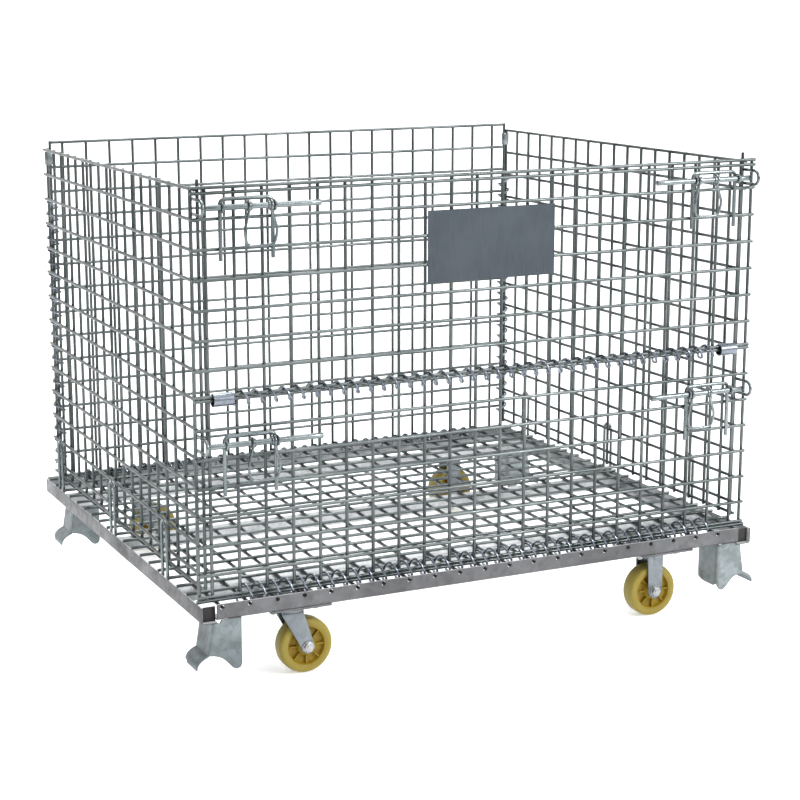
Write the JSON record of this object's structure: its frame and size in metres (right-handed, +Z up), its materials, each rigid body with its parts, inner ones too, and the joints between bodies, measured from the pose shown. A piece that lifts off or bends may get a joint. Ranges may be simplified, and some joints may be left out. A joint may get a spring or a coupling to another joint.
{
  "type": "wire mesh container",
  "caption": "Folding galvanised wire mesh container on casters, with a hinged half gate, spring-wire spiral hinges, sliding latch bolts and pressed stacking feet.",
  "frame": {"origin": "centre of the footprint, on the ground under the wheels", "axes": "+Z up, the gate faces -Y, +X to the right when facing the gate"},
  "size_m": [1.1324, 0.9557, 0.874],
  "materials": {
    "zinc_wire": "satin galvanised",
    "zinc_sheet": "satin galvanised",
    "foot_zinc": "satin galvanised, bluish",
    "spring_wire": "dull zinc",
    "latch_wire": "bright zinc",
    "name_plate": "satin, blank",
    "caster_zinc": "bright zinc",
    "fastener": "zinc plated",
    "wheel_yellow": "semi-matt, moulded"
  },
  "bodies": {
    "base": {"left_rail": "zinc_sheet", "right_rail": "zinc_sheet", "front_rail": "zinc_sheet", "rear_rail": "zinc_sheet", "cross_channels": "zinc_sheet", "floor_cross_wires": "zinc_wire", "floor_long_wires": "zinc_wire", "foot_front_left": "foot_zinc", "foot_front_right": "foot_zinc", "foot_rear_left": "foot_zinc", "foot_rear_right": "foot_zinc", "caster_pads": "zinc_sheet", "side_stops": "latch_wire", "back_panel": "zinc_wire", "left_panel": "zinc_wire", "right_panel": "zinc_wire", "left_panel_eyes": "latch_wire", "right_panel_eyes": "latch_wire", "left_corner_spiral": "spring_wire", "right_corner_spiral": "spring_wire", "back_floor_spiral": "spring_wire", "front_floor_spiral": "spring_wire", "corner_clips": "zinc_sheet", "swivel_plate_front": "caster_zinc", "swivel_plate_rear": "caster_zinc", "fixed_fork_front": "caster_zinc", "fixed_fork_rear": "caster_zinc", "caster_bolts": "fastener", "axle_fixed_front": "fastener", "axle_fixed_rear": "fastener"},
    "lower_front": {"lower_panel": "zinc_wire", "gate_spiral": "spring_wire", "hinge_sleeves": "zinc_sheet", "lower_latch_brackets": "latch_wire"},
    "gate": {"gate_panel": "zinc_wire", "name_plate": "name_plate", "gate_latch_brackets": "latch_wire"},
    "swivel_front": {"swivel_fork_front": "caster_zinc", "axle_swivel_front": "fastener"},
    "swivel_rear": {"swivel_fork_rear": "caster_zinc", "axle_swivel_rear": "fastener"},
    "wheel_swivel_front_body": {"wheel_swivel_front": "wheel_yellow"},
    "wheel_swivel_rear_body": {"wheel_swivel_rear": "wheel_yellow"},
    "wheel_fixed_front_body": {"wheel_fixed_front": "wheel_yellow"},
    "wheel_fixed_rear_body": {"wheel_fixed_rear": "wheel_yellow"},
    "gate_left_bolt": {"bolt_gate_left": "latch_wire"},
    "gate_left_handle": {"handle_gate_left": "latch_wire"},
    "gate_right_bolt": {"bolt_gate_right": "latch_wire"},
    "gate_right_handle": {"handle_gate_right": "latch_wire"},
    "lower_left_bolt": {"bolt_lower_left": "latch_wire"},
    "lower_left_handle": {"handle_lower_left": "latch_wire"},
    "lower_right_bolt": {"bolt_lower_right": "latch_wire"},
    "lower_right_handle": {"handle_lower_right": "latch_wire"}
  },
  "joints": [
    {"name": "lower_front_hinge", "type": "hinge", "parent": "base", "child": "lower_front", "pos_m": [0, -0.45, 0.16605], "axis": [1, 0, 0], "range_deg": [0, 90]},
    {"name": "gate_hinge", "type": "hinge", "parent": "lower_front", "child": "gate", "pos_m": [0, -0.45, 0.51], "axis": [1, 0, 0], "range_deg": [0, 155]},
    {"name": "gate_left_bolt_slide", "type": "slide", "parent": "gate", "child": "gate_left_bolt", "axis": [-1, 0, 0], "range_m": [0, 0.04]},
    {"name": "gate_left_handle_swing", "type": "hinge", "parent": "gate_left_bolt", "child": "gate_left_handle", "pos_m": [-0.4367, -0.4654, 0.8295], "axis": [1, 0, 0], "range_deg": [-80, 0]},
    {"name": "gate_right_bolt_slide", "type": "slide", "parent": "gate", "child": "gate_right_bolt", "axis": [1, 0, 0], "range_m": [0, 0.04]},
    {"name": "gate_right_handle_swing", "type": "hinge", "parent": "gate_right_bolt", "child": "gate_right_handle", "pos_m": [0.4367, -0.4654, 0.8295], "axis": [1, 0, 0], "range_deg": [-80, 0]},
    {"name": "lower_left_bolt_slide", "type": "slide", "parent": "lower_front", "child": "lower_left_bolt", "axis": [-1, 0, 0], "range_m": [0, 0.04]},
    {"name": "lower_left_handle_swing", "type": "hinge", "parent": "lower_left_bolt", "child": "lower_left_handle", "pos_m": [-0.4367, -0.4654, 0.435], "axis": [1, 0, 0], "range_deg": [-80, 0]},
    {"name": "lower_right_bolt_slide", "type": "slide", "parent": "lower_front", "child": "lower_right_bolt", "axis": [1, 0, 0], "range_m": [0, 0.04]},
    {"name": "lower_right_handle_swing", "type": "hinge", "parent": "lower_right_bolt", "child": "lower_right_handle", "pos_m": [0.4367, -0.4654, 0.435], "axis": [1, 0, 0], "range_deg": [-80, 0]},
    {"name": "swivel_front_turn", "type": "hinge", "parent": "base", "child": "swivel_front", "pos_m": [-0.372, -0.41, 0.12], "axis": [0, 0, 1], "continuous": true},
    {"name": "wheel_swivel_front_roll", "type": "hinge", "parent": "swivel_front", "child": "wheel_swivel_front_body", "pos_m": [-0.345, -0.41, 0.05], "axis": [0, 1, 0], "continuous": true},
    {"name": "wheel_fixed_front_roll", "type": "hinge", "parent": "base", "child": "wheel_fixed_front_body", "pos_m": [0.372, -0.41, 0.05], "axis": [0, 1, 0], "continuous": true},
    {"name": "swivel_rear_turn", "type": "hinge", "parent": "base", "child": "swivel_rear", "pos_m": [-0.372, 0.41, 0.12], "axis": [0, 0, 1], "continuous": true},
    {"name": "wheel_swivel_rear_roll", "type": "hinge", "parent": "swivel_rear", "child": "wheel_swivel_rear_body", "pos_m": [-0.345, 0.41, 0.05], "axis": [0, 1, 0], "continuous": true},
    {"name": "wheel_fixed_rear_roll", "type": "hinge", "parent": "base", "child": "wheel_fixed_rear_body", "pos_m": [0.372, 0.41, 0.05], "axis": [0, 1, 0], "continuous": true}
  ]
}
